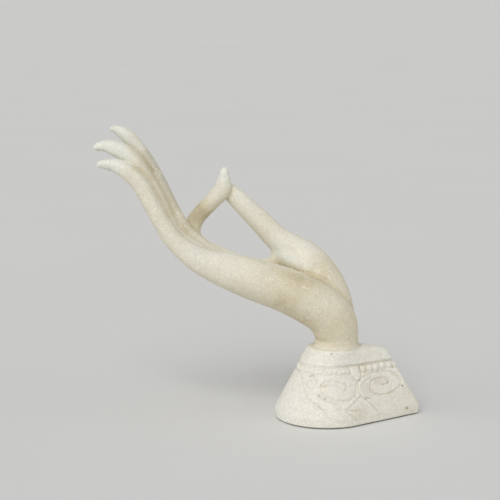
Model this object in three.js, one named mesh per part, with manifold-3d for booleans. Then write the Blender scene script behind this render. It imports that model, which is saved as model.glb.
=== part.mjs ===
// Buddha hand sculpture: a slender stone hand, its thumb and index finger closed in a ring,
// standing by its wrist on a drop-shaped stone plinth like a carved cuff.
// Millimetres, +Z up. The origin lies on the table, under the axis of the wrist.
// The fingers point towards -X, the palm looks up, and the little finger is on the -Y side.
import * as THREE from "three";
import { mergeVertices } from "three/addons/utils/BufferGeometryUtils.js";
import Module from "manifold-3d";

const wasm = await Module();
wasm.setup();

// Plinth: round behind, below the fingers, and drawn out to a corner towards +X.
// Back and reach are how far an outline goes to -X and +X; round is the radius of its round end.
const PLINTH_HEIGHT = 72;
const PLINTH_TURN = 6;
const CORNER_RADIUS = 4;
const FOOT_BACK = 62;
const FOOT_REACH = 85.5;
const FOOT_ROUND = 51;
const FOOT_HEIGHT = 9;
const FOOT_CHAMFER = 1;
const COLLAR_BACK = 37;
const COLLAR_REACH = 57.3;
const COLLAR_ROUND = 30;
const COLLAR_HEIGHT = 15;
const COLLAR_OVERHANG = 0.5;
const SHOULDER_BACK = 32;
const SHOULDER_REACH = 51.5;
const SHOULDER_ROUND = 28;
const SHOULDER_HEIGHT = 6;
const TOP_BACK = 26;
const TOP_REACH = 26.5;
const TOP_ROUND = 25;

// Wrist, and the mortar bed under it
const WRIST_HALF_WIDTH = 22.5;
const WRIST_HALF_DEPTH = 22;
const MORTAR_BED = 2;
const MORTAR_LIP = 1;
const FIT_GAP = 0.3;

// Tie rod up the wrist, set in resin, with a pin beside it that stops the hand turning
const ROD_RADIUS = 5;
const ROD_RECESS = 3;
const ROD_LENGTH = 108;
const ROD_CHAMFER = 1;
const ROD_PASSAGE = 1;
const ROD_TAIL = 3;
const RESIN_WALL = 1.5;
const RESIN_CROWN = 3;
const PIN_RADIUS = 3;
const PIN_LENGTH = 32;
const PIN_CHAMFER = 0.8;
const PIN_OFFSET = 14;

// Nut pocket in the plinth's underside
const POCKET_RADIUS = 17;
const WASHER_RADIUS = 15;
const CUSHION_THICKNESS = 2;
const WASHER_THICKNESS = 2.5;
const NUT_ACROSS_FLATS = 17;
const NUT_HEIGHT = 8.4;

// One sheet of felt under the whole foot, which also closes the pocket
const FELT_THICKNESS = 1.5;
const FELT_INSET = 3;

const ROUND_POINTS = 56;
const CORNER_POINTS = 6;
const SHOULDER_STEPS = 4;
const CIRCLE_SIDES = 32;
const OVAL_SIDES = 56;
const NUT_SIDES = 6;
const TIP_STEPS = 5;
const TIP_END_STEP = 0.35;
const TIP_TAPER = 1.15;
const SAME_POINT = 1e-4;

// How far a bore runs out past the face that it opens
const OVERRUN = 1;

// Heights, from the table up
const plinthFoot = FELT_THICKNESS;
const plinthTop = plinthFoot + PLINTH_HEIGHT;
const wristFoot = plinthTop + MORTAR_BED;
const rodFoot = plinthFoot + ROD_RECESS;
const nutFoot = rodFoot + ROD_TAIL;
const washerFoot = nutFoot + NUT_HEIGHT;
const cushionFoot = washerFoot + WASHER_THICKNESS;
const pocketRoof = cushionFoot + CUSHION_THICKNESS;
const rodTop = rodFoot + ROD_LENGTH;
const resinRadius = ROD_RADIUS + FIT_GAP + RESIN_WALL;
const resinTop = rodTop + FIT_GAP + RESIN_CROWN;
const pinFoot = wristFoot - PIN_LENGTH / 2;
const nutRadius = NUT_ACROSS_FLATS / 2 / Math.cos(Math.PI / NUT_SIDES);

// Stations of the hand. Each line is one cross-section: its centre above the wrist's foot (x, y, z),
// half its width across the hand, half its thickness from back to palm, the roll in degrees
// that lifts the thumb's side of the section, and how far its edges curl up towards the palm.
// The wrist runs on through the heel of the hand into the little finger as one tapering form.
const LITTLE = [
  [0, 0, 0, WRIST_HALF_WIDTH, WRIST_HALF_DEPTH, 0],
  [0, 0, 4, WRIST_HALF_WIDTH, WRIST_HALF_DEPTH, 0],
  [0, 0, 9, WRIST_HALF_WIDTH, WRIST_HALF_DEPTH, 0],
  [-2.6, -2, 20, 23.5, 23.4, 0],
  [-10.4, -5, 33, 23.5, 23.8, 2],
  [-29, -9, 46, 21, 23.5, 5],
  [-54, -12, 58, 19.5, 22.3, 10],
  [-85, -14, 69, 17.5, 20.8, 14],
  [-113, -16, 79, 14.5, 18, 18],
  [-134, -19, 87, 11, 13.6, 18],
  [-150, -21, 97.5, 9.2, 11, 18],
  [-163, -21, 109.5, 8.6, 9.4, 18],
  [-174.5, -21, 127, 8.3, 8.6, 18],
  [-185.5, -20, 147, 8.1, 8.5, 18],
  [-195.5, -20, 165, 8.1, 8.6, 18],
  [-206, -20, 176, 7.8, 8.3, 18],
  [-218, -19, 182.6, 7, 7.2, 18],
  [-229, -19, 184.2, 5.6, 4.9, 18],
];
const RING = [
  [-95, -5, 72, 7, 7, 18],
  [-113, -6, 81, 8.5, 9, 18],
  [-136, -7, 93, 8.5, 9, 18],
  [-155, -7, 106, 8.3, 8.6, 18],
  [-166, -7, 118, 8.2, 8.3, 18],
  [-173, -7, 134, 8.1, 8.2, 18],
  [-179, -7, 148, 8.1, 8.2, 18],
  [-190, -7, 168, 8.1, 8.4, 18],
  [-199, -7, 182.6, 8, 8.9, 18],
  [-210, -7, 193.5, 7.6, 8.7, 18],
  [-221, -7, 198.8, 7, 7.9, 18],
  [-229, -7, 201, 6.2, 6.2, 18],
  [-236, -7, 200.4, 4.8, 4.4, 18],
];
const MIDDLE = [
  [-95, 4, 74, 7, 7, 18],
  [-113, 5, 83, 8.5, 9, 18],
  [-134, 6, 95, 8.5, 9, 18],
  [-146, 6, 106, 8.2, 8.4, 18],
  [-154, 6, 116, 8, 8, 18],
  [-166, 6, 137, 7.8, 7.8, 18],
  [-177.5, 6, 162, 7.6, 7.6, 18],
  [-185.5, 6, 177, 7.6, 7.5, 18],
  [-195.5, 6, 192, 7.4, 7.9, 18],
  [-206.5, 6, 207, 6.8, 7.4, 18],
  [-214, 6, 213, 6, 6.2, 18],
  [-220.5, 6, 216.2, 4.6, 4.2, 18],
];
const INDEX = [
  [-90, 14, 72, 9, 11, 10],
  [-114, 18, 83.3, 9.5, 11.2, 10],
  [-134, 20, 92, 9, 10.5, 5],
  [-145.5, 20, 105, 8.5, 9.5, 0],
  [-145, 20, 118, 8, 8.8, 0],
  [-138, 20, 129, 7.7, 8.2, 0],
  [-128.5, 19.5, 139, 7.4, 8.2, 0],
  [-119.9, 19, 148.1, 7.5, 8.7, 0],
  [-115.2, 18, 153.8, 7.3, 9.1, 0],
  [-113.8, 17.5, 160.6, 6.8, 7.7, 0],
  [-113.3, 17.5, 168.2, 5.4, 5.3, 0],
];
const THUMB = [
  [0, 4, 12, 17, 18, 0],
  [-4, 8, 32, 20, 22, 0],
  [-12, 13, 53.5, 21, 22.6, 0],
  [-21, 17, 69.3, 21, 21.2, 0],
  [-32, 18.5, 78.7, 19.5, 22.5, 0],
  [-43.5, 20.5, 86.8, 16.3, 20.6, 0],
  [-54, 22, 98, 13.5, 14, 0],
  [-66, 22.5, 109.5, 11.3, 12.2, 0],
  [-79.5, 22, 124, 10.4, 11.2, 0],
  [-93, 22.2, 137.2, 9.2, 10.2, 0],
  [-102, 23.4, 145.9, 8, 9.2, 0],
  [-109, 24.6, 152.1, 7, 8.4, 0],
];
const WEB = [
  [-46, 20, 86, 10, 13, 0],
  [-55.5, 19.5, 83, 8, 12.5, 0],
  [-61.5, 18.5, 78.7, 8, 9.8, 0],
  [-68, 18, 75.3, 8, 8.8, 0],
  [-78, 17.5, 74.8, 8, 9.1, 0],
  [-92, 17, 76.2, 8, 8.6, 0],
];
const PALM = [
  [-4, 4, 18, 16, 16, 0, 0],
  [-12, 4, 32, 22, 20, 4, 0],
  [-29, 4, 44, 25, 18, 8, 3],
  [-54, 4, 54, 27, 15, 11, 4],
  [-85, 4, 63.6, 27, 12.8, 14, 4],
  [-113, 4, 72.9, 27, 10.4, 16, 2.5],
  [-130, 4, 83.6, 24, 8.5, 18, 1],
  [-141, 4, 93, 18, 5.5, 18, 0],
];
// The tip of a limb is a dome of this length, whose end droops towards the nail by this share
// of half the thickness. A limb with no dome ends flat inside the others.
const LIMBS = [
  { stations: LITTLE, dome: 9, droop: 0.5, rows: 44, sides: 28 },
  { stations: PALM, dome: 0, droop: 0, rows: 22, sides: 28 },
  { stations: WEB, dome: 0, droop: 0, rows: 10, sides: 16 },
  { stations: THUMB, dome: 5, droop: 0, rows: 26, sides: 24 },
  { stations: INDEX, dome: 9, droop: 0, rows: 22, sides: 20 },
  { stations: MIDDLE, dome: 6, droop: 0.5, rows: 22, sides: 20 },
  { stations: RING, dome: 6, droop: 0.5, rows: 24, sides: 20 },
];

// Closed skin over a row of equal rings, each a list of points, with a fan at either end
function skin(rings) {
  const count = rings[0].length;
  const positions = rings.flat().flatMap((point) => [point.x, point.y, point.z]);
  const faces = [];
  for (let row = 0; row + 1 < rings.length; row++) {
    for (let i = 0; i < count; i++) {
      const a = row * count + i;
      const b = row * count + ((i + 1) % count);
      faces.push(a, b, b + count, a, b + count, a + count);
    }
  }
  for (const row of [0, rings.length - 1]) {
    const centre = rings[row].reduce((sum, point) => sum.add(point), new THREE.Vector3()).divideScalar(count);
    const hub = positions.length / 3;
    positions.push(centre.x, centre.y, centre.z);
    for (let i = 0; i < count; i++) {
      const a = row * count + i;
      const b = row * count + ((i + 1) % count);
      faces.push(...(row ? [a, b, hub] : [b, a, hub]));
    }
  }
  const geometry = new THREE.BufferGeometry();
  geometry.setAttribute("position", new THREE.Float32BufferAttribute(positions, 3));
  geometry.setIndex(faces);
  return geometry;
}

// A three.js geometry as a solid for joining and cutting, and back again
function solid(geometry) {
  const bare = geometry.clone();
  for (const name of Object.keys(bare.attributes)) {
    if (name !== "position") bare.deleteAttribute(name);
  }
  const merged = mergeVertices(bare, SAME_POINT);
  const vertProperties = new Float32Array(merged.attributes.position.array);
  const triVerts = new Uint32Array(merged.index.array);
  return new wasm.Manifold(new wasm.Mesh({ numProp: 3, vertProperties, triVerts }));
}

function geometryOf(made) {
  const mesh = made.getMesh();
  const geometry = new THREE.BufferGeometry();
  geometry.setAttribute("position", new THREE.BufferAttribute(mesh.vertProperties, 3));
  geometry.setIndex(new THREE.BufferAttribute(mesh.triVerts, 1));
  geometry.computeVertexNormals();
  return geometry;
}

function cut(geometry, ...tools) {
  return geometryOf(tools.reduce((rest, tool) => rest.subtract(solid(tool)), solid(geometry)));
}

// Upright solid between two heights whose plan is an ellipse with half sizes a along X and b along Y
function oval(a, b, low, high) {
  const ring = (z) =>
    Array.from({ length: OVAL_SIDES }, (_, i) => {
      const angle = (i / OVAL_SIDES) * 2 * Math.PI;
      return new THREE.Vector3(a * Math.cos(angle), b * Math.sin(angle), z);
    });
  return skin([ring(low), ring(high)]);
}

// Upright cylinder between two heights
function disc(radius, low, high, sides = CIRCLE_SIDES) {
  const geometry = new THREE.CylinderGeometry(radius, radius, high - low, sides);
  return geometry.rotateX(Math.PI / 2).translate(0, 0, (low + high) / 2);
}

// Bore for the locating pin, beside the rod
function pinBore(low, high) {
  return disc(PIN_RADIUS + FIT_GAP, low, high).translate(PIN_OFFSET, 0, 0);
}

// Upright rod with chamfered ends
function bar(radius, chamfer, low, high) {
  const profile = [
    [0, low],
    [radius - chamfer, low],
    [radius, low + chamfer],
    [radius, high - chamfer],
    [radius - chamfer, high],
    [0, high],
  ];
  const geometry = new THREE.LatheGeometry(profile.map(([r, z]) => new THREE.Vector2(r, z)), CIRCLE_SIDES);
  return geometry.rotateX(Math.PI / 2);
}

// A finger, the thumb or the palm: sections along a smooth centre line, closed by a rounded tip.
// The curl lifts both edges of a section towards the palm and lowers its middle.
function limb({ stations, dome, droop, rows, sides }) {
  const smooth = (pick) => {
    const points = stations.map((station) => new THREE.Vector3(...pick(station)));
    return new THREE.CatmullRomCurve3(points, false, "catmullrom");
  };
  const centres = smooth(([x, y, z]) => [x, y, z]);
  const sizes = smooth(([, , , width, thickness]) => [width, thickness, 0]);
  const shapes = smooth(([, , , , , roll, curl]) => [roll, curl ?? 0, 0]);
  const section = (centre, along, shrink, at) => {
    const size = sizes.getPoint(at);
    const shape = shapes.getPoint(at);
    const across = new THREE.Vector3(0, 1, 0).projectOnPlane(along).normalize();
    across.applyAxisAngle(along, THREE.MathUtils.degToRad(shape.x));
    const palmward = new THREE.Vector3().crossVectors(across, along);
    const nailward = droop * size.y * (1 - shrink);
    return Array.from({ length: sides }, (_, i) => {
      const angle = (i / sides) * 2 * Math.PI;
      const side = Math.cos(angle);
      const lift = shape.y * (side * side - 1 / 3);
      return centre.clone()
        .addScaledVector(across, size.x * shrink * side)
        .addScaledVector(palmward, lift - nailward - size.y * shrink * Math.sin(angle));
    });
  };
  const rings = [];
  for (let row = 0; row <= rows; row++) {
    const at = row / rows;
    rings.push(section(centres.getPoint(at), centres.getTangent(at), 1, at));
  }
  const along = centres.getTangent(1);
  for (let step = 1; dome && step <= TIP_STEPS; step++) {
    const turn = (step / (TIP_STEPS + TIP_END_STEP)) * (Math.PI / 2);
    const centre = centres.getPoint(1).addScaledVector(along, dome * Math.sin(turn));
    rings.push(section(centre, along, Math.cos(turn) ** TIP_TAPER, 1));
  }
  return skin(rings);
}

// Outline of the plinth at height z: an arc behind and a small arc at the corner, joined by tangents
function drop(z, back, reach, round) {
  const centre = round - back;
  const corner = reach - CORNER_RADIUS;
  const lean = Math.acos((round - CORNER_RADIUS) / (corner - centre));
  const turn = THREE.MathUtils.degToRad(PLINTH_TURN);
  const arc = (x, radius, start, end, count) =>
    Array.from({ length: count + 1 }, (_, i) => {
      const angle = start + ((end - start) * i) / count;
      return new THREE.Vector3(x + radius * Math.cos(angle), radius * Math.sin(angle), z);
    });
  return [
    ...arc(corner, CORNER_RADIUS, -lean, lean, CORNER_POINTS),
    ...arc(centre, round, lean, 2 * Math.PI - lean, ROUND_POINTS),
  ].map((point) => point.applyAxisAngle(new THREE.Vector3(0, 0, 1), turn));
}

function plinth() {
  const collarFoot = plinthTop - COLLAR_HEIGHT;
  const under = COLLAR_OVERHANG;
  const rings = [
    drop(plinthFoot, FOOT_BACK - FOOT_CHAMFER, FOOT_REACH - FOOT_CHAMFER, FOOT_ROUND - FOOT_CHAMFER),
    drop(plinthFoot + FOOT_CHAMFER, FOOT_BACK, FOOT_REACH, FOOT_ROUND),
    drop(plinthFoot + FOOT_HEIGHT, FOOT_BACK, FOOT_REACH, FOOT_ROUND),
    drop(collarFoot, COLLAR_BACK - under, COLLAR_REACH - under, COLLAR_ROUND - under),
    drop(collarFoot + under, COLLAR_BACK, COLLAR_REACH, COLLAR_ROUND),
  ];
  for (let step = 0; step <= SHOULDER_STEPS; step++) {
    const turn = (step / SHOULDER_STEPS) * (Math.PI / 2);
    const between = (from, to) => to + (from - to) * Math.cos(turn);
    rings.push(drop(
      plinthTop - SHOULDER_HEIGHT * (1 - Math.sin(turn)),
      between(SHOULDER_BACK, TOP_BACK),
      between(SHOULDER_REACH, TOP_REACH),
      between(SHOULDER_ROUND, TOP_ROUND),
    ));
  }
  return cut(
    skin(rings),
    disc(POCKET_RADIUS, plinthFoot - OVERRUN, pocketRoof),
    disc(ROD_RADIUS + ROD_PASSAGE, pocketRoof - OVERRUN, plinthTop + OVERRUN),
    pinBore(pinFoot - FIT_GAP, plinthTop + OVERRUN),
  );
}

function hand() {
  const limbs = LIMBS.map((shape) => solid(limb(shape)));
  const whole = limbs.reduce((made, next) => made.add(next));
  return cut(
    geometryOf(whole).translate(0, 0, wristFoot),
    disc(resinRadius + FIT_GAP, wristFoot - OVERRUN, resinTop + FIT_GAP),
    pinBore(wristFoot - OVERRUN, pinFoot + PIN_LENGTH + FIT_GAP),
  );
}

// Mortar squeezed out a little all round the wrist's foot
function settingMortar() {
  return cut(
    oval(WRIST_HALF_DEPTH + MORTAR_LIP, WRIST_HALF_WIDTH + MORTAR_LIP, plinthTop, wristFoot),
    disc(ROD_RADIUS + ROD_PASSAGE, plinthTop - OVERRUN, wristFoot + OVERRUN),
    pinBore(plinthTop - OVERRUN, wristFoot + OVERRUN),
  );
}

// Resin that fills the bore around the upper half of the rod and over its end
function anchorResin() {
  return cut(
    disc(resinRadius, wristFoot, resinTop),
    disc(ROD_RADIUS + FIT_GAP, wristFoot - OVERRUN, rodTop + FIT_GAP),
  );
}

// A round or six-sided disc with the rod's hole through it
function ringOnRod(radius, low, high, sides = CIRCLE_SIDES) {
  return cut(disc(radius, low, high, sides), disc(ROD_RADIUS + FIT_GAP, low - OVERRUN, high + OVERRUN));
}

function feltBase() {
  const outline = (z) => drop(z, FOOT_BACK - FELT_INSET, FOOT_REACH - FELT_INSET, FOOT_ROUND - FELT_INSET);
  return skin([outline(0), outline(FELT_THICKNESS)]);
}

const sculpture = new THREE.Group();

function add(name, geometry, { color, roughness, metalness }) {
  const mesh = new THREE.Mesh(geometry, new THREE.MeshStandardMaterial({ color, roughness, metalness }));
  mesh.name = name;
  sculpture.add(mesh);
}

const HAND_STONE = { color: 0xd8ccb0, roughness: 0.8, metalness: 0 };
const PLINTH_STONE = { color: 0xdcd4bd, roughness: 0.85, metalness: 0 };
const LIME_MORTAR = { color: 0xcbbf9f, roughness: 0.95, metalness: 0 };
const STEEL = { color: 0xb4b6b8, roughness: 0.35, metalness: 1 };
const RESIN = { color: 0xb59a5e, roughness: 0.4, metalness: 0 };
const RUBBER = { color: 0x26262a, roughness: 0.9, metalness: 0 };
const FELT = { color: 0x4a4a44, roughness: 1, metalness: 0 };

add("hand", hand(), HAND_STONE);
add("plinth", plinth(), PLINTH_STONE);
add("setting_mortar", settingMortar(), LIME_MORTAR);
add("tie_rod", bar(ROD_RADIUS, ROD_CHAMFER, rodFoot, rodTop), STEEL);
add("anchor_resin", anchorResin(), RESIN);
add("locating_pin", bar(PIN_RADIUS, PIN_CHAMFER, pinFoot, pinFoot + PIN_LENGTH).translate(PIN_OFFSET, 0, 0), STEEL);
add("cushion_washer", ringOnRod(WASHER_RADIUS, cushionFoot, pocketRoof), RUBBER);
add("steel_washer", ringOnRod(WASHER_RADIUS, washerFoot, cushionFoot), STEEL);
add("hex_nut", ringOnRod(nutRadius, nutFoot, washerFoot, NUT_SIDES), STEEL);
add("felt_base", feltBase(), FELT);

export default sculpture;
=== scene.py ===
"""Looks of a stone hand on its carved plinth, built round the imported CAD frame.

Blender works in metres. The shapes below are worked out in millimetres, in the same frame,
and scaled when the meshes are made.
"""

import math

import bmesh
import bpy
import numpy as np
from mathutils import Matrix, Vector, noise


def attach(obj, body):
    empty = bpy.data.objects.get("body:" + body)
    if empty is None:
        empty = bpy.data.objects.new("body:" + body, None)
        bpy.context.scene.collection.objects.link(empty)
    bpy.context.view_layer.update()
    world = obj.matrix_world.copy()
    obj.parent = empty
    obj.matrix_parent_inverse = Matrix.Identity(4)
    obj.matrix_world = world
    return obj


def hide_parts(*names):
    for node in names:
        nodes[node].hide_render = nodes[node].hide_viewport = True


MM = 0.001

# The plinth, with the sizes that its CAD solid has. It stands on the felt, which is this thick
FELT = 1.5
PLINTH_TOP = 73.5
PLINTH_TURN = math.radians(6)
CORNER_RADIUS = 4.0
# How far the outline goes to -X and +X, and the radius of its round end
FOOT_SIZES = (62.0, 85.5, 51.0)
MIDDLE_SIZES = (49.1, 71.3, 40.1)
# Height, then the three sizes of the outline
PLINTH_PROFILE = [
    (FELT, 60.9, 84.4, 49.9),
    (2.0, 61.6, 85.1, 50.6),
    (2.8, *FOOT_SIZES),
    (8.6, *FOOT_SIZES),
    (10.0, 61.8, 85.3, 50.8),
    (11.6, 61.2, 84.7, 50.3),
    (13.5, 60.4, 83.7, 49.7),
    (57.6, 37.0, 57.3, 29.9),
    (58.3, 36.5, 56.8, 29.5),
    (59.0, 37.0, 57.3, 30.0),
    (60.0, 36.7, 57.0, 29.9),
    (67.5, 32.1, 51.5, 28.0),
    (69.8, 31.5, 49.6, 27.8),
    (71.7, 30.2, 44.4, 27.1),
    (72.9, 28.6, 37.0, 26.3),
    (73.35, 27.3, 31.8, 25.7),
    (PLINTH_TOP, 26.1, 27.0, 25.1),
]
# Mesh of the plinth: columns round it, step between its rows, rings on its top and how far in they go
COLUMNS = 740
ROW_STEP = 0.42
TOP_RINGS = 14
TOP_RING_SHARE = 0.6
# Bores of the plinth: radius, distance from the rod's axis, lowest and highest point
PLINTH_BORES = [(17.0, 0.0, 0.0, 20.4), (6.0, 0.0, 10.0, 80.0), (3.3, 14.0, 59.2, 80.0)]
BORE_SIDES = 64
# Unevenness of the plinth's surface: depth, width of its waves and seed
WORN_SURFACE = [(0.22, 13.0, 1), (0.1, 4.5, 2)]
# Height above the felt over which the relief fades in
FOOT_FADE = 1.5
# Patina of the plinth: its ground, what the stone near the corner adds and where, and what the dirt and
# painted shade of its cuts add
PLINTH_PATINA = 0.22
CORNER_PATINA = 0.08
CORNER_RANGE = (150.0, 90.0)
# The cuts' grime map is dirt and painted shade; it adds to the patina and to the grey tint
GRIME_AND_SHADE_PATINA = 0.75
GRIME_AND_SHADE_GREY = 0.2

# The mortar: half lengths of the wrist's foot, then its section, as distance out from there and height
WRIST_FOOT = (22.0, 22.5)
COVE_SECTION = [
    (-15.4, 73.52), (-8.0, 73.52), (2.4, 73.52), (2.1, 73.6), (1.6, 73.85), (1.1, 74.4),
    (0.7, 75.2), (0.4, 76.0), (0.12, 76.8), (-0.25, 77.4), (-0.4, 76.6), (-0.4, 75.42),
    (-8.0, 75.42), (-15.4, 75.42),
]
COVE_STEP = 0.25
COVE_COLUMNS = 240
# The cove's edge is wavy where it reaches further out than this
COVE_WAVES_FROM = 0.3

# The felt: how far it lies inside the foot, then how far its edge draws in at each height
FELT_INSET = 3.0
FELT_EDGE = [(0.35, 0.0), (0.08, 0.2), (0.0, 0.55), (0.0, 0.95), (0.1, 1.3), (0.4, 1.48)]
FELT_COLUMNS = 420

# Faces that meet at more than this look crisp
CREASE_ANGLE = math.radians(40)

# The camera and the floor, in metres, and the lens and the sensor in millimetres
TARGET = Vector((-0.0874, 0.0, 0.1712))
CAMERA_TILT = math.radians(10)
CAMERA_DISTANCE = 1.6
CAMERA_LENS = 115.2
SENSOR_WIDTH = 36.0
FLOOR_SIZE = 80.0
FLOOR_COLOUR = (0.80, 0.80, 0.79)
# Lamps: name, where it stands, its softness in degrees and its strength
LAMPS = [
    ("key_lamp", (-0.55, -1.5, 1.5), 36, 1.45),
    ("left_lamp", (-1.8, -0.7, 0.3), 60, 0.8),
    ("right_lamp", (1.8, -0.8, 0.7), 60, 0.55),
]
ROOM_LIGHT = (1.0, 0.99, 0.97, 1.0)
ROOM_STRENGTH = 0.31
ROOM_SEEN = (0.72, 0.72, 0.71, 1.0)

# The hand: width of its voxels, rounds of evening its facets, and rounds that show its hollows
HAND_VOXEL = 0.75
HAND_SMOOTHING = 110
HOLLOW_ROUNDS = 90
# Places where the carver blended one form into the next: middle, reach and rounds of softening
SOFT_PLACES = [
    ((-62.0, 16.0, 158.0), 24.0, 90),
    ((-20.0, 6.0, 135.0), 30.0, 30),
    ((-150.0, -5.0, 185.0), 62.0, 12),
]
# The gain of a round of softening, and the share of a reach in which it works in full
SOFT_GAIN = 0.5
SOFT_CORE = 0.4
# Creases that are only soft valleys: rounds, share of a reach filled in full, and middle and reach
FILL_ROUNDS = 42
FILL_CORE = 0.5
FILLED_PLACES = [
    ((-165.0, -8.0, 212.0), 54.0),
    ((-140.0, -4.0, 180.0), 36.0),
    ((-122.0, 2.0, 170.0), 28.0),
    ((-67.0, 17.0, 168.0), 16.0),
]
# The ring finger's root in the front view: start, end, reach, rounds and share of flattening
SUNK_RIDGE = ((-188.0, 242.0), (-168.0, 209.0), 5.5, 80, 0.8)
# Painted light and shade of the hand in the front view, mostly crease shadows, with a few stains: warmth,
# grey painted shade, reach, start and end
STAINS_AND_PAINTED_LIGHT = [
    (0.22, -0.1, 5.5, (-180.0, 238.0), (-165.0, 210.0)),
    (0.0, 0.6, 6.0, (-188.0, 268.0), (-158.0, 216.0)),
    (-0.28, 0.15, 7.0, (-228.0, 295.0), (-198.0, 276.0)),
    (0.28, 0.12, 3.5, (-204.0, 275.0), (-184.0, 252.0)),
    (0.28, 0.1, 3.5, (-200.0, 257.0), (-184.0, 244.0)),
    (-0.3, 0.0, 7.0, (-218.0, 270.0), (-204.0, 264.0)),
    (0.26, 0.22, 9.0, (-148.0, 197.0), (-138.0, 209.0)),
    (-0.4, 0.0, 7.0, (-68.0, 172.0), (-34.0, 154.0)),
    (-0.16, 0.0, 4.5, (-66.0, 165.5), (-20.0, 150.0)),
    (0.16, 0.08, 4.0, (-66.0, 157.0), (-36.0, 147.0)),
    (0.22, 0.06, 10.0, (-56.0, 122.0), (-36.0, 104.0)),
]
# Swelled forms: rise, reach and middle
SWELLS = [
    (2.6, 11.0, (-40.0, 17.0, 180.0)),
]
# Swelled lines in the front view: rise, reach, start and end
SWELLED_LINES = [
    (1.0, 5.5, (-54.0, 162.0), (-32.0, 153.0)),
]
# The normal's y at which a mark of the front view is gone, and at which it is full
FRONT_FACING = (0.35, -0.25)

# Patina of the hand, with painted light and shade: its ground, and what each of its forms adds
# The wrist, fingers and tips are partly stone tone and partly painted light and shade, the undersides
# painted shade, and the hollows painted shade with some patina
HAND_PATINA = 0.42
WRIST_TONE_AND_SHADE = 0.36
FINGERS_TONE_AND_SHADE = 0.12
TIPS_TONE_AND_LIGHT = -0.32
RAISED_TIP_TONE_AND_LIGHT = -0.3
UNDERSIDE_SHADE = 0.2
HOLLOW_SHADE_AND_PATINA = 0.4
HOLLOW_LIMITS = (-0.1, 0.09)
# Where these forms start and where they are full, as heights, as distances to -X or as the normal's z
WRIST_HEIGHTS = (205.0, 95.0)
WRIST_LEAN = 0.25
FINGERS_START = (140.0, 165.0)
FINGERS_END = (222.0, 200.0)
TIPS_START = (205.0, 230.0)
RAISED_TIP_HEIGHTS = (228.0, 246.0)
RAISED_TIP_START = (150.0, 130.0)
UNDERSIDE_FACING = (0.0, -0.9)
UNDERSIDE_HEIGHTS = (120.0, 150.0)
# Spots of warm painted shade in the front view: patina added, middle, and half width and half height
WARM_SHADE_SPOTS = [
    # Root of the index finger: painted shadow of the fingers above it
    (0.42, (-136.0, 207.0), (16.0, 17.0)),
    # Where the thumb and the index finger touch: painted shade
    (0.25, (-108.5, 227.0), (6.0, 9.0)),
    # Heel: painted shade, with warmer stone
    (0.36, (-35.0, 148.0), (34.0, 16.0)),
]


def new_object(name, mesh):
    made = bpy.data.objects.new(name, mesh)
    bpy.context.scene.collection.objects.link(made)
    return made


def evaluated_copy(source, name):
    """A new mesh with the modifiers of source applied."""
    depsgraph = bpy.context.evaluated_depsgraph_get()
    mesh = bpy.data.meshes.new_from_object(source.evaluated_get(depsgraph))
    mesh.name = name
    return mesh


def read_points(mesh):
    points = np.zeros(len(mesh.vertices) * 3)
    mesh.vertices.foreach_get("co", points)
    return points.reshape(-1, 3)


def write_points(mesh, points):
    mesh.vertices.foreach_set("co", points.astype(np.float32).ravel())
    mesh.update()


def read_normals(mesh):
    normals = np.zeros(len(mesh.vertices) * 3)
    mesh.vertices.foreach_get("normal", normals)
    return normals.reshape(-1, 3)


def write_patina_light_and_shade(mesh, patina_light_and_shade, shade_and_dirt):
    """Writes each vertex's patina with painted light and shade, 0 for the whitest stone and 1 for the
    warmest, and its dirt and painted shade.
    """
    for name, values in (("patina_light_and_shade", patina_light_and_shade), ("shade_and_dirt", shade_and_dirt)):
        layer = mesh.attributes.new(name, "FLOAT", "POINT")
        layer.data.foreach_set("value", np.clip(values, 0.0, 1.0).astype(np.float32))


def shade_smooth(mesh):
    mesh.polygons.foreach_set("use_smooth", np.ones(len(mesh.polygons), dtype=bool))


def noise_at(points, size, seed):
    """Smooth noise from about -1 to 1, with features about size millimetres wide."""
    offset = Vector((seed * 17.3, seed * 5.1, seed * 9.7))
    return np.array([noise.noise(Vector(p) / size + offset) for p in points])


def smooth_step(low, high, value):
    t = np.clip((value - low) / (high - low), 0.0, 1.0)
    return t * t * (3 - 2 * t)


def between(ends, share):
    """The value at a share of the way from one end to the other."""
    return ends[0] + (ends[1] - ends[0]) * share


def mesh_of(name, rings, faces):
    """A mesh in metres from rings of points in millimetres."""
    mesh = bpy.data.meshes.new(name)
    mesh.from_pydata((np.vstack(rings) * MM).tolist(), [], faces)
    mesh.update()
    return mesh


# The hand


def neighbour_mean(mesh):
    """A function that gives the mean of the points next to each point of the mesh."""
    count = len(mesh.vertices)
    edges = np.zeros(len(mesh.edges) * 2, dtype=np.int64)
    mesh.edges.foreach_get("vertices", edges)
    a, b = edges.reshape(-1, 2).T
    degree = np.bincount(a, minlength=count) + np.bincount(b, minlength=count)

    def mean(points):
        made = np.empty_like(points)
        for axis in range(3):
            column = points[:, axis]
            made[:, axis] = np.bincount(a, column[b], count) + np.bincount(b, column[a], count)
        return made / degree[:, None]

    return mean


def relaxed(points, mean, rounds, gain=0.5, back=-0.515):
    """Evens out the facets of a mesh without shrinking it."""
    for step in range(rounds * 2):
        points = points + (mean(points) - points) * (gain if step % 2 == 0 else back)
    return points


def gap_to(points, place):
    """Distance of each point from a place, in millimetres."""
    return np.linalg.norm(points / MM - np.array(place), axis=1)


def softened(points, mean, place, reach, rounds):
    """Fillets the creases near a place, and leaves the rest."""
    share = SOFT_GAIN * smooth_step(reach, SOFT_CORE * reach, gap_to(points, place))[:, None]
    for _ in range(rounds):
        points = points + (mean(points) - points) * share
    return points


def evened(points, mean, rounds):
    """The points after some rounds in which each moves to the mean of its neighbours."""
    for _ in range(rounds):
        points = mean(points)
    return points


def hollowness(points, normals, mean, rounds):
    """How far each point lies below the evened surface."""
    return ((evened(points, mean, rounds) - points) * normals).sum(1)


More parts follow.
